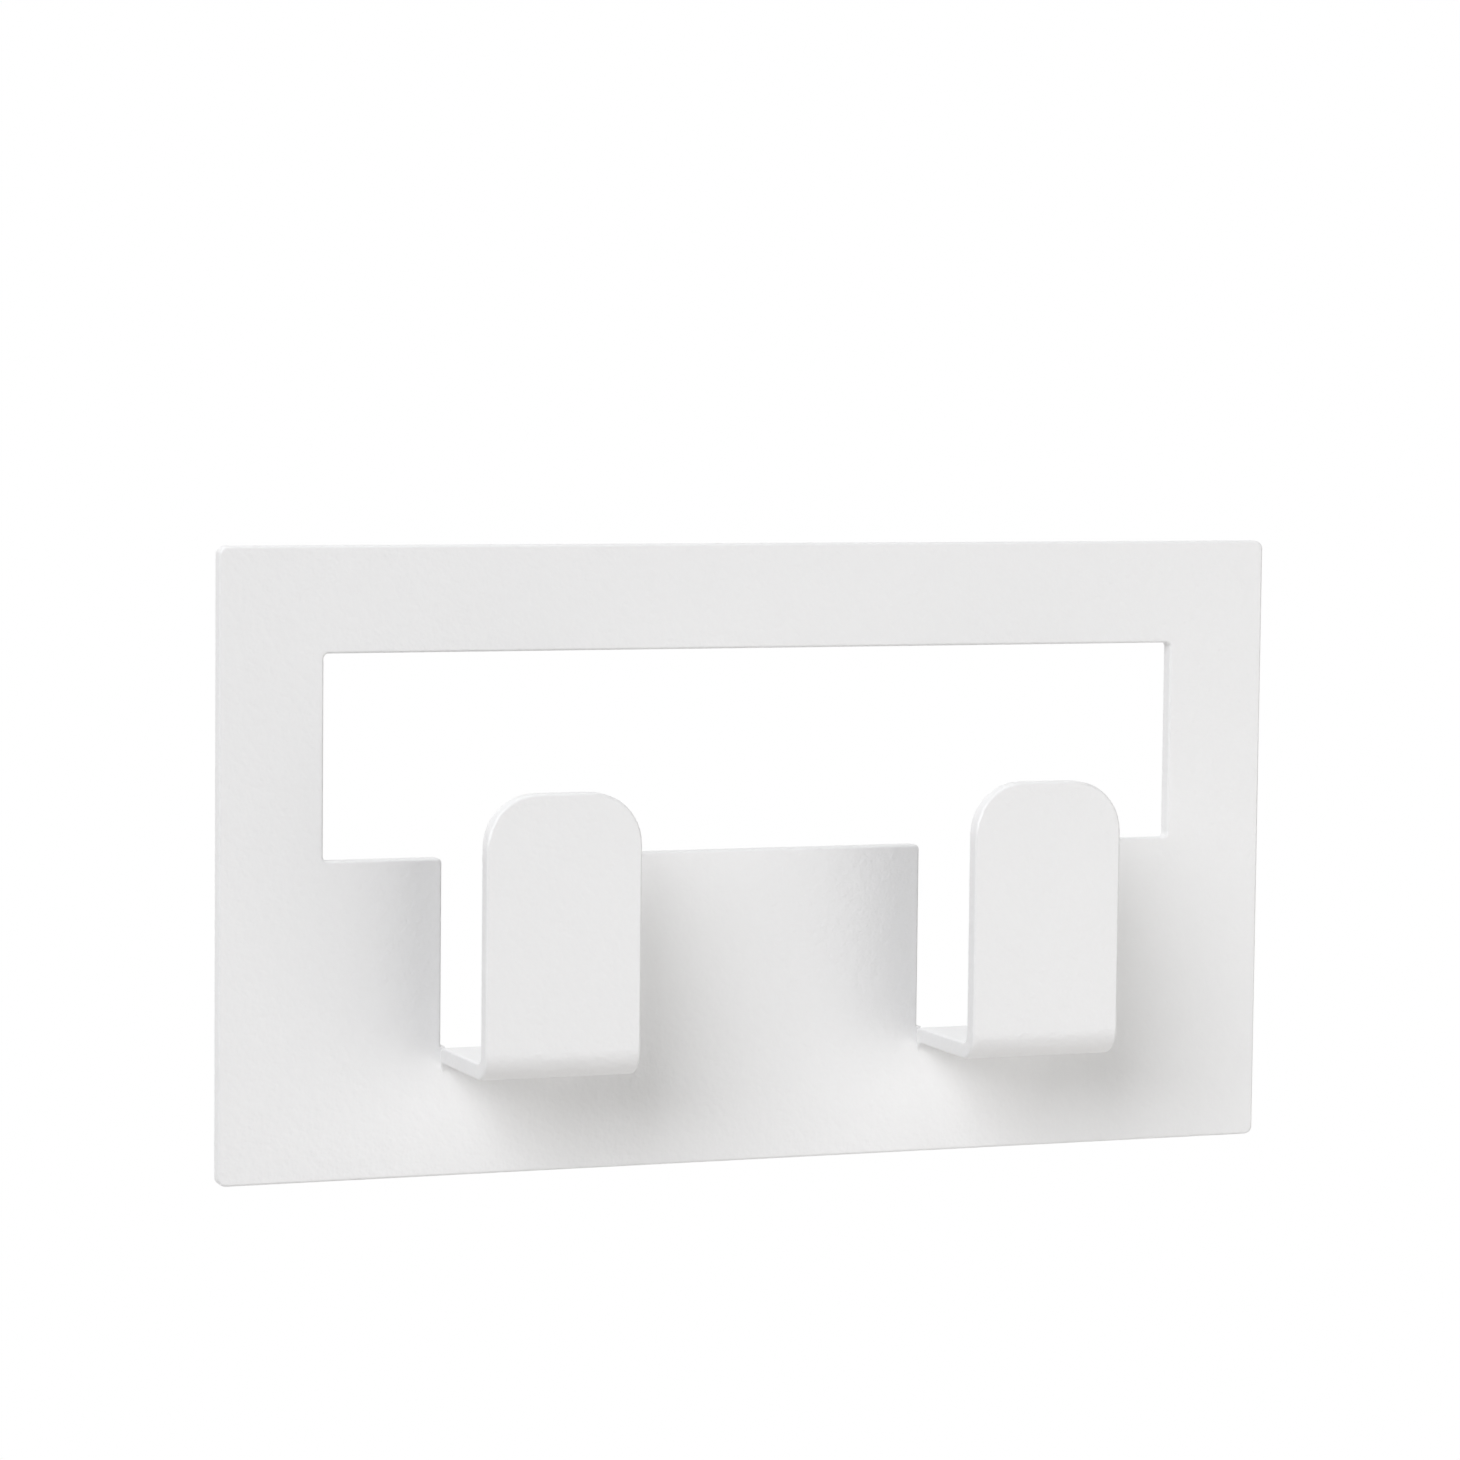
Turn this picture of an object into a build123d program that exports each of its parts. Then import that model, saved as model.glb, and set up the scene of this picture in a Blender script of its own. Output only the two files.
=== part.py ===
from build123d import *
import os

# Double towel hook: one folded steel sheet with a window and two hooks.
# Millimetres, +Z up, +X to the right, the wall behind the sheet on the +Y side.
# Origin: on the wall face, midway between the hooks, level with their seats.

# Sheet, measured over its coating
sheet_thickness = 2.4
edge_radius = 0.4
bend_radius = 1.5

# Plate, as bands around the window
head_height = 15.0
side_width = 15.0
foot_height = 14.5
plate_corner_radius = 1.2

# Window
window_width = 130.0
window_height = 29.0
cut_corner_radius = 0.7

# Hooks
hook_spacing = 72.8
hook_width = 22.6
seat_depth = 26.7
hook_gap = 18.0
hook_height = 37.4
tip_radius = 7.4
root_overlap = 2.0

# Web left beside each bend, where the coat closes the cut
root_web = 0.6

# Heights above the seats
bend_start = -sheet_thickness - bend_radius
window_bottom = seat_depth
window_top = window_bottom + window_height
plate_top = window_top + head_height
plate_bottom = bend_start - foot_height

# Distances in front of the wall
upright_front = 2 * sheet_thickness + hook_gap

# Widths and heights that follow
plate_width = window_width + 2 * side_width
plate_height = plate_top - plate_bottom
bend_gap_width = hook_width - 2 * root_web
hook_centres = (-hook_spacing / 2, hook_spacing / 2)


def cut_out():
    """Window, both notches and the narrower gaps of their bends as one opening, rounded at the window."""
    window = Pos(0, window_bottom) * Rectangle(window_width, window_height, align=(Align.CENTER, Align.MIN))
    notch = Rectangle(hook_width, window_bottom, align=(Align.CENTER, Align.MIN))
    bend_gap = Rectangle(bend_gap_width, -bend_start, align=(Align.CENTER, Align.MAX))
    opening = window + [Pos(x, 0) * (notch + bend_gap) for x in hook_centres]
    corner_rows = opening.vertices().group_by(Axis.Y)
    return fillet(corner_rows[-2] + corner_rows[-1], cut_corner_radius)


def face_plate():
    """Flat sheet with its opening, softened along every edge except beside the bends."""
    outline = RectangleRounded(plate_width, plate_height, plate_corner_radius)
    sketch = Pos(0, (plate_top + plate_bottom) / 2) * outline - cut_out()
    plate = extrude(Plane.XZ * sketch, sheet_thickness)
    rims = plate.faces().filter_by(Axis.Y).edges()
    bend_rims = rims.filter_by_position(Axis.Z, bend_start - edge_radius, edge_radius)
    return fillet(rims - bend_rims, edge_radius)


def hook():
    """Tab that leaves the plate, runs forward as the seat and turns up, softened along its cut edge."""
    middle = sheet_thickness / 2
    fold = FilletPolyline(
        (-middle, bend_start - root_overlap),
        (-middle, -middle),
        (middle - upright_front, -middle),
        (middle - upright_front, hook_height),
        radius=bend_radius + middle,
    )
    tab = extrude(Plane.YZ * trace(fold, sheet_thickness), hook_width / 2, both=True)
    tip = tab.faces().sort_by(Axis.Z)[-1]
    tab = fillet(tip.edges().filter_by(Axis.Y), tip_radius)

    across = tab.edges().filter_by(Axis.X)
    tip_edges = across.group_by(Axis.Z)[-1]
    forward = tab.edges().filter_by(Axis.Y)
    tip_seams = forward.filter_by(lambda edge: edge.center().Z > hook_height - 2 * tip_radius)
    root_edges = tab.edges().group_by(Axis.Z)[0]
    cut_edges = tab.edges() - across - tip_seams - root_edges + tip_edges
    return fillet(cut_edges, edge_radius)


tab = hook()
hook_plate = face_plate() + [Pos(x, 0, 0) * tab for x in hook_centres]
hook_plate.label = "hook_plate"

os.makedirs("parts", exist_ok=True)
export_step(hook_plate, "parts/hook_plate.step")
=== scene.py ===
import math

import bpy
from bpy.props import FloatProperty, FloatVectorProperty, PointerProperty
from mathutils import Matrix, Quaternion, Vector


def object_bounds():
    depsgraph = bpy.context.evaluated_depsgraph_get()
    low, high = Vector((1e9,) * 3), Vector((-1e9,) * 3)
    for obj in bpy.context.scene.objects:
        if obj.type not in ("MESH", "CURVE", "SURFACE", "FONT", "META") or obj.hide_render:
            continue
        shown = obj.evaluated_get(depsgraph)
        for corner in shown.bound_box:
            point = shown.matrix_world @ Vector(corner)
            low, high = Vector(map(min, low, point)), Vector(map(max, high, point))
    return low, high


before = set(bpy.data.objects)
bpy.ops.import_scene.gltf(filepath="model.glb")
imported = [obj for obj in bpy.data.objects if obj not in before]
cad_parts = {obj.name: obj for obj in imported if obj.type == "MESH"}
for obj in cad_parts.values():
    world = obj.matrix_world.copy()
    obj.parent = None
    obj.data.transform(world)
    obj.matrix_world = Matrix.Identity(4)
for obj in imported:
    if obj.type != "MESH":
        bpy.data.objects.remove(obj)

bl_info = {
    "name": "Double Towel Hook",
    "version": (1, 0, 0),
    "blender": (4, 5, 0),
    "location": "View3D > Sidebar > Towel Hook",
    "description": "Powder-coats a folded sheet towel hook and sets it in a plain white studio",
    "category": "Object",
}

CAD_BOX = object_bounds()
SHEET_NODE = "hook_plate"
PURE_WHITE = (1.0, 1.0, 1.0)

# Drift of the coat: wide clouds and small patches, their sizes in metres,
# and the share of the clouds in the drift of colour
CLOUD_SIZE = 0.030
PATCH_SIZE = 0.006
CLOUD_SHARE = 0.6
COAT_IOR = 1.5

# Each lamp's degrees to the right of straight in front, its degrees up,
# its distance from the object and the side of its square, both in metres
LAMP_SPOTS = {
    "key_lamp": (-44.0, 31.0, 1.8, 1.12),
    "fill_lamp": (34.0, -10.0, 1.2, 1.20),
    "top_lamp": (-20.0, 84.0, 2.0, 1.20),
    "left_lamp": (-88.0, 5.0, 2.0, 1.00),
    "side_lamp": (-120.0, 8.0, 2.0, 1.20),
}

# Backward part of a direction at which the backdrop's light begins, and at which it is full
BACKDROP_BEGINS = -0.1
BACKDROP_FULL = 0.3

# Shares of the floor's radius at which its fade into the background begins and ends
FADE_BEGINS = 0.45
FADE_ENDS = 0.95
FLOOR_CORNERS = 96

# Width of the camera's sensor in millimetres, and the axis of its view in its own frame
SENSOR_WIDTH = 36.0
VIEW_AXIS = (0.0, 0.0, 1.0)


class CoatSettings(bpy.types.PropertyGroup):
    """Colour and texture of the powder coat."""

    color: FloatVectorProperty(
        name="Colour",
        description="Colour of the coat, before light and shade",
        subtype="COLOR",
        size=3,
        min=0.0,
        max=1.0,
        default=(0.82, 0.82, 0.82),
    )
    mottle: FloatProperty(
        name="Mottle",
        description="How far the colour drifts where the coat lies thicker or thinner",
        subtype="FACTOR",
        min=0.0,
        max=0.2,
        default=0.015,
    )
    roughness: FloatProperty(
        name="Roughness",
        description="From 0 for a mirror to 1 for chalk: satin is about a third",
        subtype="FACTOR",
        min=0.0,
        max=1.0,
        default=0.32,
    )
    roughness_drift: FloatProperty(
        name="Roughness Drift",
        description="How far the roughness changes from place to place, up and down",
        subtype="FACTOR",
        min=0.0,
        max=0.3,
        default=0.06,
    )
    peel_size: FloatProperty(
        name="Orange Peel Size",
        description="Distance between the soft ripples that the melted powder leaves",
        unit="LENGTH",
        precision=5,
        min=0.0001,
        default=0.0010,
    )
    peel_height: FloatProperty(
        name="Orange Peel Height",
        description="Greatest height of the soft ripples",
        unit="LENGTH",
        precision=7,
        min=0.0,
        default=0.000080,
    )
    grain_size: FloatProperty(
        name="Grain Size",
        description="Distance between the fine grains of the coat",
        unit="LENGTH",
        precision=5,
        min=0.0001,
        default=0.00042,
    )
    grain_height: FloatProperty(
        name="Grain Height",
        description="Greatest height of the fine grains",
        unit="LENGTH",
        precision=7,
        min=0.0,
        default=0.000040,
    )


class StageSettings(bpy.types.PropertyGroup):
    """Camera, lamps and floor of the studio."""

    camera_place: FloatVectorProperty(
        name="Camera Place",
        description="Where the camera stands",
        subtype="TRANSLATION",
        unit="LENGTH",
        size=3,
        default=(-0.25748, -0.66640, 0.10006),
    )
    camera_heading: FloatProperty(
        name="Camera Heading",
        description="Turn of the view to the right of straight ahead",
        subtype="ANGLE",
        default=math.radians(20.847),
    )
    camera_dip: FloatProperty(
        name="Camera Dip",
        description="How far the view looks down",
        subtype="ANGLE",
        default=math.radians(4.512),
    )
    camera_roll: FloatProperty(
        name="Camera Roll",
        description="Lean of the camera about its view",
        subtype="ANGLE",
        default=math.radians(0.603),
    )
    camera_lens: FloatProperty(
        name="Lens",
        description="Focal length of the camera, in millimetres",
        subtype="DISTANCE_CAMERA",
        default=122.67,
    )
    floor_drop: FloatProperty(
        name="Floor Drop",
        description="How far the floor lies under the sheet",
        unit="LENGTH",
        default=0.25,
    )
    floor_radius: FloatProperty(
        name="Floor Radius",
        description="Radius of the floor",
        unit="LENGTH",
        default=0.41,
    )
    floor_shift: FloatVectorProperty(
        name="Floor Shift",
        description="How far the middle of the floor lies to the right of the object and behind it",
        subtype="XYZ",
        unit="LENGTH",
        size=2,
        default=(0.16, -0.08),
    )
    floor_color: FloatVectorProperty(
        name="Floor Colour",
        description="Colour of the pale floor",
        subtype="COLOR",
        size=3,
        min=0.0,
        max=1.0,
        default=(0.97, 0.95, 0.935),
    )
    backdrop_light: FloatProperty(
        name="Backdrop Light",
        description="Light that the white backdrop sends from behind the object",
        min=0.0,
        default=0.50,
    )
    room_light: FloatProperty(
        name="Room Light",
        description="Even light from the room in front of the object",
        min=0.0,
        default=0.05,
    )
    key_power: FloatProperty(
        name="Key Lamp",
        description="Power of the soft lamp at the upper left",
        subtype="POWER",
        min=0.0,
        default=25.2,
    )
    key_color: FloatVectorProperty(
        name="Key Colour",
        description="Tint of the key lamp, a little cool",
        subtype="COLOR",
        size=3,
        min=0.0,
        max=1.0,
        default=(0.979, 0.981, 1.0),
    )
    fill_power: FloatProperty(
        name="Fill Lamp",
        description="Power of the soft lamp at the right",
        subtype="POWER",
        min=0.0,
        default=7.1,
    )
    fill_color: FloatVectorProperty(
        name="Fill Colour",
        description="Tint of the fill, left and side lamps, a little warm",
        subtype="COLOR",
        size=3,
        min=0.0,
        max=1.0,
        default=(0.995, 0.985, 0.965),
    )
    top_power: FloatProperty(
        name="Top Lamp",
        description="Power of the lamp overhead",
        subtype="POWER",
        min=0.0,
        default=12.0,
    )
    left_power: FloatProperty(
        name="Left Lamp",
        description="Power of the weak lamp that lifts the hooks' left sides",
        subtype="POWER",
        min=0.0,
        default=2.7,
    )
    side_power: FloatProperty(
        name="Side Lamp",
        description="Power of the lamp at the left, a little behind the sheet",
        subtype="POWER",
        min=0.0,
        default=4.5,
    )


class Value:
    """A shader socket that takes part in Python arithmetic by adding Math nodes."""

    def __init__(self, shader, socket):
        self.shader = shader
        self.socket = socket

    def math(self, operation, first, second):
        return self.shader.add("ShaderNodeMath", {"operation": operation}, {0: first, 1: second})

    def __add__(self, other):
        return self.math("ADD", self, other)

    def __radd__(self, other):
        return self.math("ADD", other, self)

    def __sub__(self, other):
        return self.math("SUBTRACT", self, other)

    def __rsub__(self, other):
        return self.math("SUBTRACT", other, self)

    def __mul__(self, other):
        return self.math("MULTIPLY", self, other)

    def __rmul__(self, other):
        return self.math("MULTIPLY", other, self)

    def __truediv__(self, other):
        return self.math("DIVIDE", self, other)

    def __rtruediv__(self, other):
        return self.math("DIVIDE", other, self)

    def at_most(self, other):
        return self.math("MINIMUM", self, other)

    def at_least(self, other):
        return self.math("MAXIMUM", self, other)

    def ramp(self, begin, end):
        """Rises evenly from 0 at begin to 1 at end, and stays level outside."""
        return ((self - begin) / (end - begin)).at_least(0.0).at_most(1.0)


class Shader:
    """Node tree of a material or world, filled by one method."""

    def __init__(self, owner):
        owner.use_nodes = True
        self.tree = owner.node_tree
        self.tree.nodes.clear()

    def add(self, kind, settings=None, inputs=None, output=0):
        """Adds a node, sets it and fills its sockets with numbers or links. Gives one output."""
        node = self.tree.nodes.new(kind)
        for name, setting in (settings or {}).items():
            setattr(node, name, setting)
        for name, given in (inputs or {}).items():
            if isinstance(given, Value):
                self.tree.links.new(given.socket, node.inputs[name])
            else:
                node.inputs[name].default_value = given
        return Value(self, node.outputs[output]) if node.outputs else None

    def noise(self, place, size, detail=2.0):
        """Noise between 0 and 1 whose lumps are about size metres apart."""
        inputs = {"Vector": place, "Scale": 1 / size, "Detail": detail}
        return self.add("ShaderNodeTexNoise", None, inputs)

    def mix_color(self, amount, first, second):
        """Colour between first and second."""
        # The Mix node keeps its colour sockets after those for numbers and vectors.
        factor, a, b, result = 0, 6, 7, 2
        return self.add(
            "ShaderNodeMix",
            {"data_type": "RGBA"},
            {factor: amount, a: first, b: second},
            result,
        )

    def mix_surface(self, amount, first, second):
        """Surface between first and second."""
        return self.add("ShaderNodeMixShader", None, {0: amount, 1: first, 2: second})


def rgba(color, level=1.0):
    """Four numbers for a colour socket."""
    return (*(channel * level for channel in color), 1.0)


def powder_coat(settings):
    """Satin powder coat: soft orange peel, fine grain and a slight drift of colour and gloss."""
    material = bpy.data.materials.new("white_powder_coat_satin")
    shader = Shader(material)
    place = shader.add("ShaderNodeTexCoord", output="Object")

    clouds = shader.noise(place, CLOUD_SIZE)
    patches = shader.noise(place, PATCH_SIZE)
    color = shader.mix_color(
        clouds * CLOUD_SHARE + patches * (1.0 - CLOUD_SHARE),
        rgba(settings.color, 1.0 - settings.mottle),
        rgba(settings.color, 1.0 + settings.mottle),
    )
    up_or_down = patches * 2.0 - 1.0
    roughness = settings.roughness + up_or_down * settings.roughness_drift

    peel = shader.noise(place, settings.peel_size, detail=1.0)
    grain = shader.noise(place, settings.grain_size)
    height = peel * settings.peel_height + grain * settings.grain_height
    # At strength and distance 1 the bumps are as high as the height says, in metres.
    bumps = {"Strength": 1.0, "Distance": 1.0, "Height": height}
    normal = shader.add("ShaderNodeBump", None, bumps)

    surface = shader.add(
        "ShaderNodeBsdfPrincipled",
        None,
        {"Base Color": color, "Roughness": roughness, "IOR": COAT_IOR, "Normal": normal},
    )
    shader.add("ShaderNodeOutputMaterial", None, {"Surface": surface})
    return material


def seen_directly(shader):
    """1 for what the camera sees, also mirrored or through glass, and 0 for light on surfaces."""
    camera_ray, glossy_ray, through_ray = (
        shader.add("ShaderNodeLightPath", output=name)
        for name in ("Is Camera Ray", "Is Glossy Ray", "Is Transmission Ray")
    )
    return (camera_ray + glossy_ray + through_ray).at_most(1.0)


def studio_world(settings):
    """White to look at. As light, a bright backdrop behind the object and a dim room in front."""
    world = bpy.data.worlds.new("studio_world")
    shader = Shader(world)
    direction = shader.add("ShaderNodeTexCoord", output="Generated")
    backward = shader.add("ShaderNodeSeparateXYZ", None, {"Vector": direction}, "Y")
    behind = backward.ramp(BACKDROP_BEGINS, BACKDROP_FULL)
    light = settings.room_light + behind * (settings.backdrop_light - settings.room_light)
    strength = light + seen_directly(shader) * (1.0 - light)
    glow = shader.add(
        "ShaderNodeBackground",
        None,
        {"Color": rgba(PURE_WHITE), "Strength": strength},
    )
    shader.add("ShaderNodeOutputWorld", None, {"Surface": glow})
    bpy.context.scene.world = world


def floor_finish(settings):
    """Pale matt floor that fades into the background towards its rim and is clear from below."""
    material = bpy.data.materials.new("pale_floor")
    shader = Shader(material)
    place = shader.add("ShaderNodeTexCoord", output="Object")
    reach = shader.add("ShaderNodeVectorMath", {"operation": "LENGTH"}, {0: place}, "Value")
    radius = settings.floor_radius
    fade = reach.ramp(FADE_BEGINS * radius, FADE_ENDS * radius)
    matt = shader.add("ShaderNodeBsdfDiffuse", None, {"Color": rgba(settings.floor_color)})
    white = shader.add("ShaderNodeEmission", None, {"Color": rgba(PURE_WHITE), "Strength": 1.0})
    upper_side = shader.mix_surface(fade * seen_directly(shader), matt, white)
    from_below = shader.add("ShaderNodeNewGeometry", output="Backfacing")
    clear = shader.add("ShaderNodeBsdfTransparent")
    surface = shader.mix_surface(from_below, upper_side, clear)
    shader.add("ShaderNodeOutputMaterial", None, {"Surface": surface})
    return material


def floor(settings, middle, lowest):
    """Round floor below the object."""
    right, back = settings.floor_shift
    bpy.ops.mesh.primitive_circle_add(
        vertices=FLOOR_CORNERS,
        radius=settings.floor_radius,
        fill_type="NGON",
        location=(middle.x + right, middle.y + back, lowest - settings.floor_drop),
    )
    disc = bpy.context.object
    disc.name = "floor"
    disc.data.materials.append(floor_finish(settings))


def polar(target, distance, azimuth, elevation):
    """Point at a distance from the target: azimuth 0 is in front, and positive to the right."""
    turn, lift = math.radians(azimuth), math.radians(elevation)
    across = math.cos(lift)
    outward = Vector((math.sin(turn) * across, -math.cos(turn) * across, math.sin(lift)))
    return target + distance * outward


def soft_lamp(name, target, power, color):
    """Square area lamp that faces the target from its own spot."""
    azimuth, elevation, distance, size = LAMP_SPOTS[name]
    place = polar(target, distance, azimuth, elevation)
    data = bpy.data.lights.new(name, "AREA")
    data.shape = "SQUARE"
    data.size = size
    data.energy = power
    data.color = color
    lamp = bpy.data.objects.new(name, data)
    lamp.location = place
    lamp.rotation_euler = (target - place).to_track_quat("-Z", "Y").to_euler()
    bpy.context.scene.collection.objects.link(lamp)


def camera(settings):
    """Camera at the photograph's viewing angle."""
    data = bpy.data.cameras.new("camera")
    data.sensor_width = SENSOR_WIDTH
    data.lens = settings.camera_lens
    viewer = bpy.data.objects.new("camera", data)
    turn, dip = settings.camera_heading, settings.camera_dip
    across = math.cos(dip)
    ahead = Vector((math.sin(turn) * across, math.cos(turn) * across, -math.sin(dip)))
    aim = ahead.to_track_quat("-Z", "Y") @ Quaternion(VIEW_AXIS, settings.camera_roll)
    viewer.location = settings.camera_place
    viewer.rotation_euler = aim.to_euler()
    bpy.context.scene.collection.objects.link(viewer)
    bpy.context.scene.camera = viewer


class HOOK_OT_coat_sheet(bpy.types.Operator):
    """Give the folded sheet its powder coat"""

    bl_idname = "towel_hook.coat_sheet"
    bl_label = "Coat Folded Sheet"

    def execute(self, context):
        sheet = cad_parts[SHEET_NODE]
        sheet.data.materials.clear()
        sheet.data.materials.append(powder_coat(context.scene.towel_hook_coat))
        return {"FINISHED"}


class HOOK_OT_set_stage(bpy.types.Operator):
    """Set up the background, the floor, the lamps and the camera"""

    bl_idname = "towel_hook.set_stage"
    bl_label = "Set Studio Stage"

    def execute(self, context):
        settings = context.scene.towel_hook_stage
        low, high = CAD_BOX
        middle = (low + high) / 2
        context.scene.view_settings.view_transform = "Standard"
        studio_world(settings)
        floor(settings, middle, low.z)
        soft_lamp("key_lamp", middle, settings.key_power, settings.key_color)
        soft_lamp("fill_lamp", middle, settings.fill_power, settings.fill_color)
        soft_lamp("top_lamp", middle, settings.top_power, PURE_WHITE)
        soft_lamp("left_lamp", middle, settings.left_power, settings.fill_color)
        soft_lamp("side_lamp", middle, settings.side_power, settings.fill_color)
        camera(settings)
        return {"FINISHED"}


class HOOK_PT_panel(bpy.types.Panel):
    """Sidebar panel with the steps and their settings"""

    bl_idname = "HOOK_PT_panel"
    bl_label = "Double Towel Hook"
    bl_space_type = "VIEW_3D"
    bl_region_type = "UI"
    bl_category = "Towel Hook"

    def draw(self, context):
        steps = (
            (HOOK_OT_coat_sheet, context.scene.towel_hook_coat),
            (HOOK_OT_set_stage, context.scene.towel_hook_stage),
        )
        for operator, settings in steps:
            box = self.layout.box()
            box.operator(operator.bl_idname)
            for name in settings.__annotations__:
                box.prop(settings, name)


CLASSES = (CoatSettings, StageSettings, HOOK_OT_coat_sheet, HOOK_OT_set_stage, HOOK_PT_panel)


def register():
    for item in CLASSES:
        bpy.utils.register_class(item)
    bpy.types.Scene.towel_hook_coat = PointerProperty(type=CoatSettings)
    bpy.types.Scene.towel_hook_stage = PointerProperty(type=StageSettings)


def unregister():
    del bpy.types.Scene.towel_hook_stage
    del bpy.types.Scene.towel_hook_coat
    for item in reversed(CLASSES):
        bpy.utils.unregister_class(item)


def main():
    register()
    bpy.ops.towel_hook.coat_sheet()
    bpy.ops.towel_hook.set_stage()


if __name__ == "__main__":
    main()
